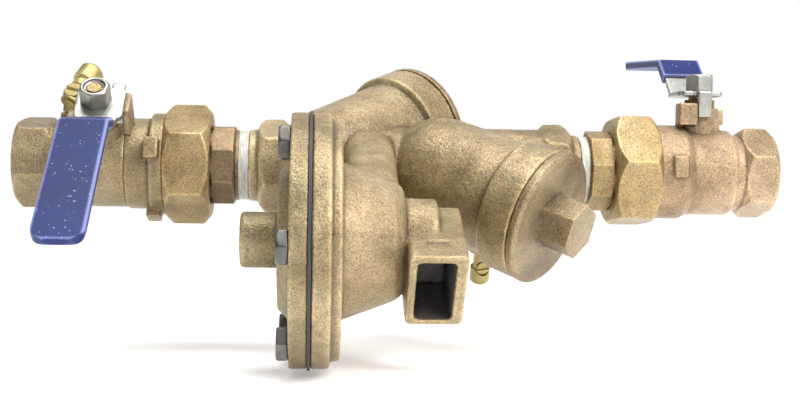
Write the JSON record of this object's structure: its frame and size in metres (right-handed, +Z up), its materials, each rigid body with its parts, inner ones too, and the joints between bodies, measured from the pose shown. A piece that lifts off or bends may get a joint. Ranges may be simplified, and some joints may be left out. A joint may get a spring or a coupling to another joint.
{
  "type": "reduced pressure backflow preventer",
  "caption": "Bronze backflow preventer with spring check valves, a diaphragm relief valve with a vent, and union ball valves with lever handles at both ends.",
  "frame": {"origin": "centre of the inlet valve's pipe socket, on its end face", "axes": "+X is the flow direction, from the inlet to the outlet along the pipe axis; +Z is up; the outlet valve's stem stands along +Z, and the relief valve and vent are on the -Y side, rolled 25 degrees below it"},
  "size_m": [0.3807, 0.2433, 0.1576],
  "materials": {
    "cast_bronze": "sand-cast, dull",
    "cap_bronze": "sand-cast with a machined rim",
    "black_rubber": "matt",
    "inner_brass": "machined",
    "spring_steel": "stainless wire",
    "bolt_steel": "zinc plated, worn",
    "plated_ball": "polished",
    "ptfe": "white, waxy",
    "blue_vinyl": "dip-coated vinyl",
    "plated_steel": "zinc plated, dull",
    "turned_bronze": "machined, satin",
    "yellow_brass": "machined, satin",
    "ptfe_tape": "white film"
  },
  "bodies": {
    "valve_assembly": {"body": "cast_bronze", "check_1_cap": "cap_bronze", "check_1_cap_o_ring": "black_rubber", "check_1_seat": "inner_brass", "check_1_seat_o_ring": "black_rubber", "check_1_spring": "spring_steel", "check_2_cap": "cap_bronze", "check_2_cap_o_ring": "black_rubber", "check_2_seat": "inner_brass", "check_2_seat_o_ring": "black_rubber", "check_2_spring": "spring_steel", "cover_bolts": "bolt_steel", "inlet_ball_seats": "ptfe", "inlet_packing_nut": "turned_bronze", "inlet_stem_packing": "ptfe", "inlet_tailpiece": "turned_bronze", "inlet_test_cock": "yellow_brass", "inlet_thread_tape": "ptfe_tape", "inlet_union_end": "cast_bronze", "inlet_union_nut": "turned_bronze", "inlet_union_o_ring": "black_rubber", "inlet_valve_body": "cast_bronze", "lower_test_cock": "yellow_brass", "outlet_ball_seats": "ptfe", "outlet_hex_end": "cast_bronze", "outlet_packing_nut": "turned_bronze", "outlet_stem_packing": "ptfe", "outlet_tailpiece": "turned_bronze", "outlet_thread_tape": "ptfe_tape", "outlet_union_nut": "turned_bronze", "outlet_union_o_ring": "black_rubber", "outlet_valve_body": "cast_bronze", "relief_cover": "cast_bronze", "relief_diaphragm": "black_rubber", "relief_seat": "inner_brass", "relief_seat_o_ring": "black_rubber", "relief_spring": "spring_steel"},
    "inlet_handle": {"inlet_lever": "plated_steel", "inlet_grip": "blue_vinyl", "inlet_lever_nut": "plated_steel", "inlet_stem": "turned_bronze", "inlet_ball": "plated_ball"},
    "outlet_handle": {"outlet_lever": "plated_steel", "outlet_grip": "blue_vinyl", "outlet_lever_nut": "plated_steel", "outlet_stem": "turned_bronze", "outlet_ball": "plated_ball"},
    "check_1_disc": {"check_1_poppet": "inner_brass", "check_1_seal_disc": "black_rubber", "check_1_disc_screw": "inner_brass"},
    "check_2_disc": {"check_2_poppet": "inner_brass", "check_2_seal_disc": "black_rubber", "check_2_disc_screw": "inner_brass"},
    "relief_spindle": {"relief_stem": "inner_brass", "relief_seal_disc": "black_rubber", "relief_disc_nut": "inner_brass", "relief_diaphragm_plate": "inner_brass", "relief_diaphragm_nut": "inner_brass"},
    "inlet_cock_screw": {"inlet_test_cock_screw": "yellow_brass"},
    "lower_cock_screw": {"lower_test_cock_screw": "yellow_brass"}
  },
  "joints": [
    {"name": "inlet_handle_turn", "type": "hinge", "parent": "valve_assembly", "child": "inlet_handle", "pos_m": [0.042, 0, 0], "axis": [0, 0.6884, -0.7254], "range_deg": [0, 90]},
    {"name": "outlet_handle_turn", "type": "hinge", "parent": "valve_assembly", "child": "outlet_handle", "pos_m": [0.3442, 0, 0], "axis": [0, 0, 1], "range_deg": [0, 90]},
    {"name": "check_1_lift", "type": "slide", "parent": "valve_assembly", "child": "check_1_disc", "axis": [0.7071, 0.6409, 0.2988], "range_m": [0, 0.008], "stiffness_N_per_m": 300, "springref_m": -0.003, "deforming": ["check_1_spring"]},
    {"name": "check_2_lift", "type": "slide", "parent": "valve_assembly", "child": "check_2_disc", "axis": [0.7547, -0.5738, -0.3181], "range_m": [0, 0.008], "stiffness_N_per_m": 300, "springref_m": -0.003, "deforming": ["check_2_spring"]},
    {"name": "relief_close", "type": "slide", "parent": "valve_assembly", "child": "relief_spindle", "axis": [1, 0, 0], "range_m": [0, 0.005], "stiffness_N_per_m": 300, "springref_m": -0.003, "deforming": ["relief_spring", "relief_diaphragm"]},
    {"name": "inlet_cock_turn", "type": "hinge", "parent": "valve_assembly", "child": "inlet_cock_screw", "pos_m": [0.0264, 0.001, 0.0334], "axis": [-0.0996, -0.747, 0.6573], "range_deg": [0, 90]},
    {"name": "lower_cock_turn", "type": "hinge", "parent": "valve_assembly", "child": "lower_cock_screw", "pos_m": [0.231, -0.00714, -0.04857], "axis": [0.3, -0.8646, -0.4032], "range_deg": [0, 90]}
  ]
}
